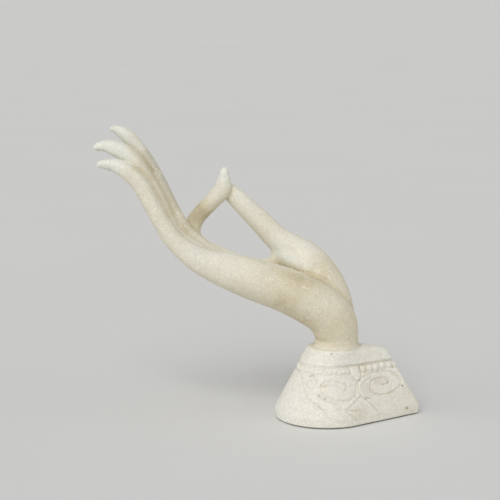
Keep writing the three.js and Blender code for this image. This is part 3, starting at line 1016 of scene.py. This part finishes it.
def stone(name, white, pale, warm, deep, stain, crystals, grain, coarse):
    """Fine crystalline stone: four tones by its patina with painted light and shade, greyer by its dirt
    and painted shade, bright crystals, and a few dark specks.

    crystals is the share of cells with a crystal, grain the width of the surface's grains,
    and coarse how much the tone of the coarse grains varies.
    """
    s = Shader(name)
    clouds = s.math("SUBTRACT", s.noise(CLOUD_WIDTH, 3, 0.55, 0.6), 0.5)
    clouds = s.math("MULTIPLY", clouds, CLOUD_STRENGTH)
    patina_light_and_shade = s.math("ADD", s.value("patina_light_and_shade"), clouds)
    colour = s.ramp(patina_light_and_shade, (0.0, white), (0.4, pale), (0.75, warm), (1.0, deep))
    # Greyer and darker by each vertex's dirt and painted shade
    colour = s.times(colour, s.ramp(s.value("shade_and_dirt"), (0.0, 1.0), (1.0, SHADE_AND_DIRT_TINT)))
    colour = s.times(colour, s.ramp(s.noise(MOTTLE_WIDTH, 4, 0.6), (0.3, 0.95), (0.7, 1.03)))
    grainy = s.ramp(s.noise(GRAIN_WIDTH, 3, 0.65), (0.3, 1 - coarse), (0.7, 1 + 0.7 * coarse))
    colour = s.times(colour, grainy)
    _, grain_tone = s.cells(FINE_GRAIN_WIDTH)
    colour = s.times(colour, s.ramp(grain_tone, (0.0, 0.91), (1.0, 1.08)))
    gap, pick = s.cells(CRYSTAL_SPACING)
    chosen = s.ramp(pick, (1 - crystals, 0.0), (1 - crystals + 0.02, 1.0))
    patch = s.ramp(s.noise(CRYSTAL_PATCH_WIDTH, 2), (0.44, 0.1), (0.58, 1.0))
    dot = s.ramp(gap, (0.16, 1.0), (0.32, 0.0))
    bright = s.math("MULTIPLY", s.math("MULTIPLY", chosen, patch), dot)
    colour = s.mix(bright, colour, CRYSTAL_COLOUR)
    speck_gap, speck_pick = s.cells(SPECK_SPACING)
    size = s.math("MULTIPLY", speck_pick, SPECK_SHARE)
    speck = s.math("LESS_THAN", speck_gap, size)
    colour = s.mix(s.math("MULTIPLY", speck, SPECK_STRENGTH), colour, stain)
    s.link(colour, s.surface.inputs["Base Color"])
    rough = s.ramp(s.noise(4, 3), (0.3, 0.46), (0.7, 0.62))
    s.link(s.mix(bright, rough, CRYSTAL_ROUGHNESS), s.surface.inputs["Roughness"])
    waves = s.bump(s.noise(6, 3, 0.55), 0.12)
    grains = s.bump(s.noise(grain, 3, 0.7), 0.08, waves)
    pits = s.bump(s.ramp(speck_gap, (0.0, 0.0), (0.07, 1.0)), 0.25, grains)
    s.link(pits, s.surface.inputs["Normal"])
    s.surface.inputs["Specular IOR Level"].default_value = 0.4
    s.surface.inputs["Subsurface Weight"].default_value = 0.08
    s.surface.inputs["Subsurface Radius"].default_value = (0.003, 0.0025, 0.002)
    return s.material


def mortar():
    s = Shader("lime_mortar")
    colour = s.ramp(s.noise(3, 4, 0.6), (0.3, (0.68, 0.62, 0.49)), (0.7, (0.77, 0.72, 0.60)))
    s.link(colour, s.surface.inputs["Base Color"])
    s.link(s.ramp(s.noise(2, 3), (0.3, 0.75), (0.7, 0.92)), s.surface.inputs["Roughness"])
    s.link(s.bump(s.noise(0.8, 4, 0.7), 0.15), s.surface.inputs["Normal"])
    return s.material


def steel():
    s = Shader("zinc_steel")
    colour = s.ramp(s.noise(5, 4, 0.6), (0.3, (0.50, 0.51, 0.52)), (0.7, (0.66, 0.66, 0.65)))
    s.link(colour, s.surface.inputs["Base Color"])
    s.link(s.ramp(s.noise(1.5, 4), (0.3, 0.28), (0.7, 0.44)), s.surface.inputs["Roughness"])
    s.link(s.bump(s.noise(0.5, 3), 0.02), s.surface.inputs["Normal"])
    s.surface.inputs["Metallic"].default_value = 1.0
    return s.material


def resin():
    s = Shader("anchor_resin")
    colour = s.ramp(s.noise(6, 3), (0.3, (0.42, 0.31, 0.13)), (0.7, (0.55, 0.43, 0.21)))
    s.link(colour, s.surface.inputs["Base Color"])
    s.link(s.ramp(s.noise(3, 2), (0.3, 0.25), (0.7, 0.45)), s.surface.inputs["Roughness"])
    s.link(s.bump(s.noise(2, 2), 0.1), s.surface.inputs["Normal"])
    return s.material


def rubber():
    s = Shader("black_rubber")
    colour = s.ramp(s.noise(4, 4), (0.3, (0.022, 0.022, 0.024)), (0.7, (0.045, 0.044, 0.043)))
    s.link(colour, s.surface.inputs["Base Color"])
    s.link(s.ramp(s.noise(2, 3), (0.3, 0.7), (0.7, 0.9)), s.surface.inputs["Roughness"])
    s.link(s.bump(s.noise(0.6, 3), 0.04), s.surface.inputs["Normal"])
    return s.material


def felt():
    s = Shader("grey_felt")
    fibres = s.noise(0.7, 5, 0.75, 1.5)
    colour = s.ramp(fibres, (0.3, (0.10, 0.10, 0.09)), (0.7, (0.24, 0.235, 0.21)))
    s.link(colour, s.surface.inputs["Base Color"])
    s.link(s.bump(fibres, 0.3), s.surface.inputs["Normal"])
    s.surface.inputs["Roughness"].default_value = 1.0
    s.surface.inputs["Sheen Weight"].default_value = 0.4
    return s.material


def paper(name, colour):
    s = Shader(name)
    tone = s.ramp(s.noise(400, 2), (0.3, tuple(c * 0.985 for c in colour)), (0.7, colour))
    s.link(tone, s.surface.inputs["Base Color"])
    s.surface.inputs["Roughness"].default_value = 0.9
    s.surface.inputs["Specular IOR Level"].default_value = 0.1
    return s.material


def paint(piece, material):
    piece.data.materials.clear()
    piece.data.materials.append(material)


# Camera, floor and light

def add_camera():
    camera = bpy.data.objects.new("camera", bpy.data.cameras.new("camera"))
    bpy.context.scene.collection.objects.link(camera)
    along = Vector((0.0, math.cos(CAMERA_TILT), -math.sin(CAMERA_TILT)))
    camera.location = TARGET - along * CAMERA_DISTANCE
    camera.rotation_mode = "QUATERNION"
    camera.rotation_quaternion = along.to_track_quat("-Z", "Y")
    camera.data.lens = CAMERA_LENS
    camera.data.sensor_width = SENSOR_WIDTH
    bpy.context.scene.camera = camera


def add_floor():
    """A pale sheet that reaches as far back as the camera sees."""
    half = FLOOR_SIZE / 2
    mesh = bpy.data.meshes.new("floor_sheet")
    corners = [(-half, -half, 0), (half, -half, 0), (half, half, 0), (-half, half, 0)]
    mesh.from_pydata(corners, [], [(0, 1, 2, 3)])
    mesh.update()
    floor = new_object("floor_sheet", mesh)
    paint(floor, paper("pale_paper", FLOOR_COLOUR))


def add_lamp(name, place, softness, strength):
    """A wide lamp so far off that it lights the whole floor evenly."""
    data = bpy.data.lights.new(name, "SUN")
    data.angle = math.radians(softness)
    data.energy = strength
    lamp = bpy.data.objects.new(name, data)
    bpy.context.scene.collection.objects.link(lamp)
    lamp.location = place
    lamp.rotation_mode = "QUATERNION"
    lamp.rotation_quaternion = (-place).to_track_quat("-Z", "Y")


def add_light():
    """Three soft lamps in an even room, which the camera and reflections see in another tone."""
    for name, place, softness, strength in LAMPS:
        add_lamp(name, Vector(place), softness, strength)
    world = bpy.data.worlds.new("soft_room")
    world.use_nodes = True
    tree = world.node_tree
    light = tree.nodes["Background"]
    light.inputs["Color"].default_value = ROOM_LIGHT
    light.inputs["Strength"].default_value = ROOM_STRENGTH
    seen = tree.nodes.new("ShaderNodeBackground")
    seen.inputs["Color"].default_value = ROOM_SEEN
    rays = tree.nodes.new("ShaderNodeLightPath")
    direct = rays.outputs["Is Camera Ray"]
    for other in ("Is Glossy Ray", "Is Transmission Ray"):
        either = tree.nodes.new("ShaderNodeMath")
        either.operation = "MAXIMUM"
        tree.links.new(direct, either.inputs[0])
        tree.links.new(rays.outputs[other], either.inputs[1])
        direct = either.outputs["Value"]
    choice = tree.nodes.new("ShaderNodeMixShader")
    tree.links.new(direct, choice.inputs["Fac"])
    tree.links.new(light.outputs["Background"], choice.inputs[1])
    tree.links.new(seen.outputs["Background"], choice.inputs[2])
    tree.links.new(choice.outputs["Shader"], tree.nodes["World Output"].inputs["Surface"])
    bpy.context.scene.world = world


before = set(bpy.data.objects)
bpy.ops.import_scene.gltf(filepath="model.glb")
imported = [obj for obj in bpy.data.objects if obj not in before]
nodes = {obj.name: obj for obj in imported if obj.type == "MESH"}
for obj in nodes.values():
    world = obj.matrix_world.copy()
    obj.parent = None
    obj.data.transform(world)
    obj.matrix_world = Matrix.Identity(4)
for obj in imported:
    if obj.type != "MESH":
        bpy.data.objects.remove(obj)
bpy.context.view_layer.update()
bpy.context.scene.view_settings.view_transform = "Standard"

hand_stone = stone(
    "hand_stone", white=(0.82, 0.82, 0.73), pale=(0.80, 0.76, 0.635), warm=(0.72, 0.652, 0.485),
    deep=(0.58, 0.50, 0.325), stain=(0.22, 0.16, 0.09), crystals=0.34, grain=0.9, coarse=0.065,
)
plinth_stone = stone(
    "plinth_stone", white=(0.84, 0.825, 0.75), pale=(0.81, 0.785, 0.69), warm=(0.67, 0.61, 0.48),
    deep=(0.40, 0.33, 0.22), stain=(0.30, 0.22, 0.12), crystals=0.34, grain=1.2, coarse=0.10,
)

hand = carved_hand(nodes["hand"])
plinth = carved_plinth()
cove = mortar_cove()
sheet = felt_sheet()

for piece, node, slot, material in (
    (hand, "hand", "hand_stone", hand_stone),
    (plinth, "plinth", "plinth_stone", plinth_stone),
    (cove, "setting_mortar", "mortar", mortar()),
    (sheet, "felt_base", "felt", felt()),
):
    paint(piece, material)
    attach(piece, "root")
    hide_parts(node)

zinc = steel()
for name in ("tie_rod", "locating_pin", "steel_washer", "hex_nut"):
    paint(nodes[name], zinc)
paint(nodes["anchor_resin"], resin())
paint(nodes["cushion_washer"], rubber())

add_camera()
add_floor()
add_light()
